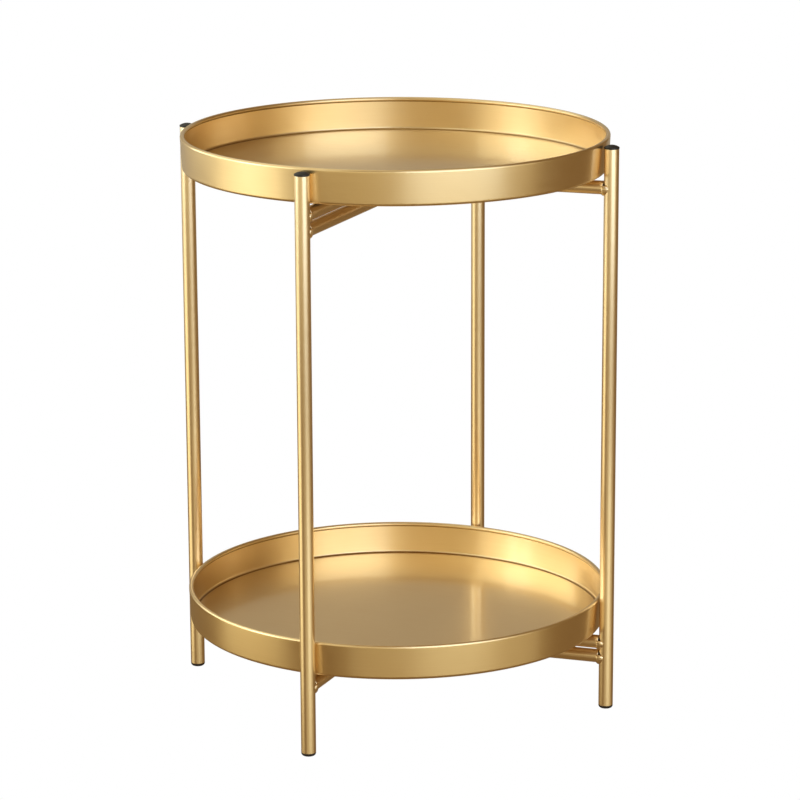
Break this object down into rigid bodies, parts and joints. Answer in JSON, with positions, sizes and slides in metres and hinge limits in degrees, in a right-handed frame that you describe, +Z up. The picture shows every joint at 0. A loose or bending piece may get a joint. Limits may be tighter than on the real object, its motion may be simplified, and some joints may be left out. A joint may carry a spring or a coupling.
{
  "type": "tiered side table",
  "caption": "Round tiered side table: lift-off pan trays with rolled rims on a stand of slim tube legs whose crossed frames fold about a central pivot.",
  "frame": {"origin": "on the floor, midway between the four feet and on the fold's pivot axis", "axes": "+Z up; -Y towards the front leg; +X to the right, 5 degrees short of the right leg"},
  "size_m": [0.4068, 0.4082, 0.5165],
  "materials": {
    "tray_gold": "satin metallic gold lacquer on pressed steel, faint horizontal brushing",
    "stand_gold": "satin metallic gold lacquer on steel tube",
    "rivet_gold": "satin metallic gold lacquer",
    "black_plastic": "fine matt moulded black",
    "washer_nylon": "matt black nylon",
    "buffer_rubber": "matt black rubber"
  },
  "bodies": {
    "front_back_frame": {"front_leg": "stand_gold", "back_leg": "stand_gold", "front_leg_plug": "black_plastic", "back_leg_plug": "black_plastic", "front_foot": "black_plastic", "back_foot": "black_plastic", "upper_low_bar": "stand_gold", "upper_front_stub": "stand_gold", "upper_back_stub": "stand_gold", "upper_stub_plugs": "black_plastic", "lower_high_bar": "stand_gold", "upper_front_back_buffers": "buffer_rubber", "lower_front_back_buffers": "buffer_rubber", "upper_front_back_welds": "stand_gold", "lower_front_back_welds": "stand_gold", "upper_pivot_rivet": "rivet_gold", "lower_pivot_rivet": "rivet_gold", "upper_pivot_washer": "washer_nylon", "lower_pivot_washer": "washer_nylon"},
    "left_right_frame": {"left_leg": "stand_gold", "right_leg": "stand_gold", "left_leg_plug": "black_plastic", "right_leg_plug": "black_plastic", "left_foot": "black_plastic", "right_foot": "black_plastic", "upper_high_bar": "stand_gold", "lower_low_bar": "stand_gold", "lower_left_stub": "stand_gold", "lower_right_stub": "stand_gold", "lower_stub_plugs": "black_plastic", "upper_left_right_buffers": "buffer_rubber", "lower_left_right_buffers": "buffer_rubber", "upper_left_right_welds": "stand_gold", "lower_left_right_welds": "stand_gold"},
    "upper_tray": {"upper_tray": "tray_gold"},
    "lower_tray": {"lower_tray": "tray_gold"}
  },
  "joints": [
    {"name": "stand_fold", "type": "hinge", "parent": "front_back_frame", "child": "left_right_frame", "pos_m": [0, 0, 0.25], "axis": [0, 0, 1], "range_deg": [-85, 75]},
    {"name": "upper_tray_lift", "type": "slide", "parent": "front_back_frame", "child": "upper_tray", "axis": [0, 0, 1], "range_m": [0, 0.08]},
    {"name": "lower_tray_lift", "type": "slide", "parent": "front_back_frame", "child": "lower_tray", "axis": [0, 0, 1], "range_m": [0, 0.34]}
  ]
}
